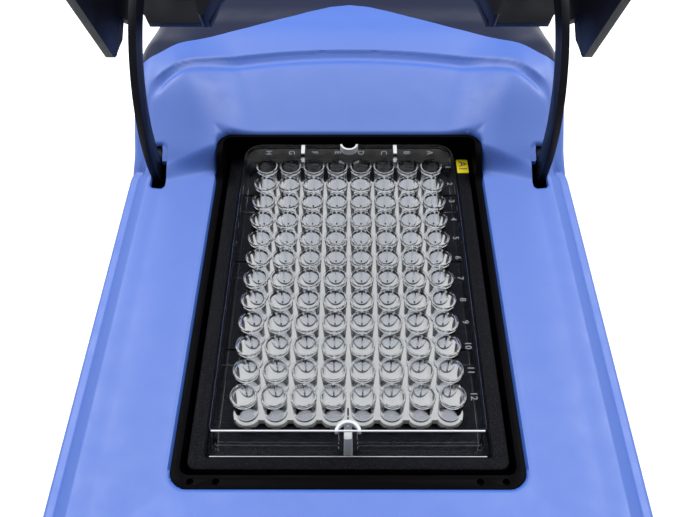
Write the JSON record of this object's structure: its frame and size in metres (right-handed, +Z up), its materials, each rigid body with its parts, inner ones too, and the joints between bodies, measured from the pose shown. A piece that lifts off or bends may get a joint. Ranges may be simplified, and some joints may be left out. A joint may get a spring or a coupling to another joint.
{
  "type": "orbital microplate shaker",
  "caption": "Benchtop orbital shaker for a microplate: blue housing, sunken orbiting nest, sloping control panel and a black hinged hood on curved arms, shown open.",
  "frame": {"origin": "middle of the footprint, on the table plane under the feet", "axes": "+Z up, -Y towards the operator and the control panel, +X to the operator's right"},
  "size_m": [0.1736, 0.315, 0.2821],
  "materials": {
    "housing_blue": "moulded satin plastic, periwinkle blue",
    "cover_dark": "moulded satin plastic, very dark navy",
    "base_grey": "moulded satin plastic, light grey",
    "hood_black": "moulded satin plastic, near black",
    "liner_black": "fine-textured moulded plastic, black",
    "nest_black": "fine-speckled black",
    "insulation": "charcoal liner sheet",
    "rubber_foot": "matt moulded rubber",
    "steel": "bright zinc-plated or ground steel",
    "aluminium": "milled aluminium",
    "motor_can": "dark plated motor can",
    "heater": "orange-red silicone mat",
    "clear_plastic": "clear polystyrene",
    "label_yellow": "yellow label",
    "panel_dark": "printed polyester overlay",
    "display": "dark display window",
    "button_grey": "moulded buttons",
    "button_green": "moulded button",
    "board_green": "circuit board",
    "electrics_black": "black thermoplastic",
    "washer_white": "acetal"
  },
  "bodies": {
    "base": {"upper_housing": "housing_blue", "rear_cover": "cover_dark", "lower_housing": "base_grey", "foot_front_left": "rubber_foot", "foot_front_right": "rubber_foot", "foot_rear_left": "rubber_foot", "foot_rear_right": "rubber_foot", "housing_screw_1": "steel", "housing_screw_2": "steel", "housing_screw_3": "steel", "housing_screw_4": "steel", "well_liner": "liner_black", "chassis_plate": "steel", "chassis_screw_1": "steel", "chassis_screw_2": "steel", "chassis_screw_3": "steel", "chassis_screw_4": "steel", "motor": "motor_can", "shaft_bearing": "steel", "hinge_pin_left": "steel", "hinge_pin_right": "steel", "hinge_washer_left": "washer_white", "hinge_washer_right": "washer_white", "hinge_bracket_left": "steel", "hinge_bracket_right": "steel", "bracket_screw_left": "steel", "bracket_screw_right": "steel", "panel_overlay": "panel_dark", "display_window": "display", "display_module": "board_green", "main_board": "board_green", "power_supply": "electrics_black", "power_inlet": "electrics_black", "switch_frame": "electrics_black", "hood_switch": "electrics_black"},
    "crank": {"motor_shaft": "steel", "counterweight": "steel", "drive_crank": "steel"},
    "platform": {"carrier_plate": "aluminium", "crank_bearing": "steel", "heater_mat": "heater", "plate_nest": "nest_black", "temperature_sensor": "steel", "a1_label": "label_yellow"},
    "idler_1": {"idler_crank_1": "steel"},
    "idler_2": {"idler_crank_2": "steel"},
    "idler_3": {"idler_crank_3": "steel"},
    "idler_4": {"idler_crank_4": "steel"},
    "plate": {"microplate": "clear_plastic"},
    "hood": {"hood_shell": "hood_black", "hood_liner": "insulation", "hood_arm_left": "hood_black", "hood_arm_right": "hood_black", "arm_screw_left": "steel", "arm_screw_right": "steel"},
    "rocker": {"switch_rocker": "electrics_black"},
    "key_mode": {"button_mode": "button_grey"},
    "key_down": {"button_down": "button_grey"},
    "key_up": {"button_up": "button_grey"},
    "key_start_stop": {"button_start_stop": "button_green"}
  },
  "joints": [
    {"name": "crank_spin", "type": "hinge", "parent": "base", "child": "crank", "pos_m": [0, -0.0155, 0.048], "axis": [0, 0, 1], "continuous": true},
    {"name": "platform_orbit", "type": "hinge", "parent": "crank", "child": "platform", "pos_m": [0, -0.0145, 0.0645], "axis": [0, 0, 1], "continuous": true},
    {"name": "idler_1_spin", "type": "hinge", "parent": "base", "child": "idler_1", "pos_m": [-0.03, -0.0595, 0.052], "axis": [0, 0, 1], "continuous": true},
    {"name": "idler_2_spin", "type": "hinge", "parent": "base", "child": "idler_2", "pos_m": [-0.03, 0.0285, 0.052], "axis": [0, 0, 1], "continuous": true},
    {"name": "idler_3_spin", "type": "hinge", "parent": "base", "child": "idler_3", "pos_m": [0.03, -0.0595, 0.052], "axis": [0, 0, 1], "continuous": true},
    {"name": "idler_4_spin", "type": "hinge", "parent": "base", "child": "idler_4", "pos_m": [0.03, 0.0285, 0.052], "axis": [0, 0, 1], "continuous": true},
    {"name": "plate_lift", "type": "slide", "parent": "platform", "child": "plate", "axis": [0, 0, 1], "range_m": [0, 0.05]},
    {"name": "hood_hinge", "type": "hinge", "parent": "base", "child": "hood", "pos_m": [0, 0.0843, 0.0973], "axis": [-1, 0, 0], "range_deg": [-62, 0]},
    {"name": "rocker_tilt", "type": "hinge", "parent": "base", "child": "rocker", "pos_m": [0.017, 0.153, 0.05], "axis": [1, 0, 0], "range_deg": [-8, 8]},
    {"name": "press_mode", "type": "slide", "parent": "base", "child": "key_mode", "axis": [0, 0.682, -0.7314], "range_m": [0, 0.001]},
    {"name": "press_down", "type": "slide", "parent": "base", "child": "key_down", "axis": [0, 0.682, -0.7314], "range_m": [0, 0.001]},
    {"name": "press_up", "type": "slide", "parent": "base", "child": "key_up", "axis": [0, 0.682, -0.7314], "range_m": [0, 0.001]},
    {"name": "press_start_stop", "type": "slide", "parent": "base", "child": "key_start_stop", "axis": [0, 0.682, -0.7314], "range_m": [0, 0.001]}
  ],
  "couplings": [
    {"joint": "platform_orbit", "follows": "crank_spin", "ratio": -1},
    {"joint": "idler_1_spin", "follows": "crank_spin", "ratio": 1},
    {"joint": "idler_2_spin", "follows": "crank_spin", "ratio": 1},
    {"joint": "idler_3_spin", "follows": "crank_spin", "ratio": 1},
    {"joint": "idler_4_spin", "follows": "crank_spin", "ratio": 1}
  ]
}
